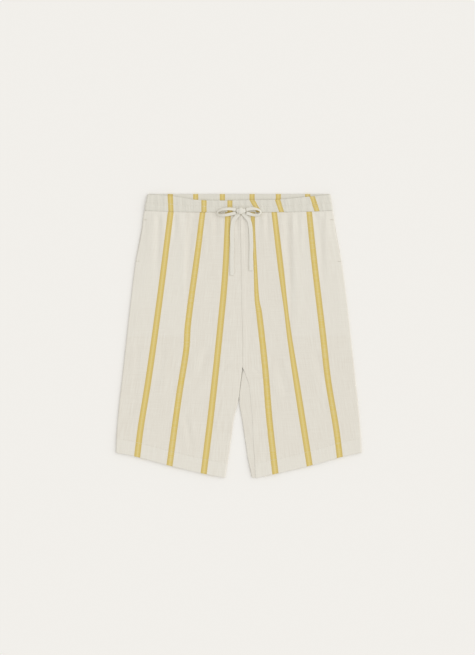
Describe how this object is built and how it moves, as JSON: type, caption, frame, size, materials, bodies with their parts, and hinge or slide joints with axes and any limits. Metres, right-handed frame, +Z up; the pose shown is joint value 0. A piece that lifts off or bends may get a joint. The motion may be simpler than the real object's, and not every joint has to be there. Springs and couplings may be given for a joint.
{
  "type": "bermuda shorts",
  "caption": "Pull-on striped bermuda shorts laid flat, with a gathered elastic waistband, in-seam pockets, turned-up hems and a tied drawstring.",
  "frame": {"origin": "on the surface that the shorts lie on, under the middle of their outline", "axes": "+X to the right seen from above, +Y towards the waist, +Z up from the surface"},
  "size_m": [0.4913, 0.5669, 0.0143],
  "materials": {
    "striped_cloth": "matte light woven cloth, ecru with narrow yellow stripes",
    "waistband_cloth": "the same cloth gathered on elastic",
    "pocket_cloth": "plain thin woven pocket cloth",
    "tape": "soft flat woven tape"
  },
  "bodies": {
    "root": {"front_left": "striped_cloth", "front_right": "striped_cloth", "back_left": "striped_cloth", "back_right": "striped_cloth", "waistband": "waistband_cloth", "pocket_bag_left": "pocket_cloth", "pocket_bag_right": "pocket_cloth", "drawstring_knot": "tape", "drawstring_loop_left": "tape", "drawstring_loop_right": "tape", "drawstring_end_left": "tape", "drawstring_end_right": "tape"}
  },
  "joints": []
}
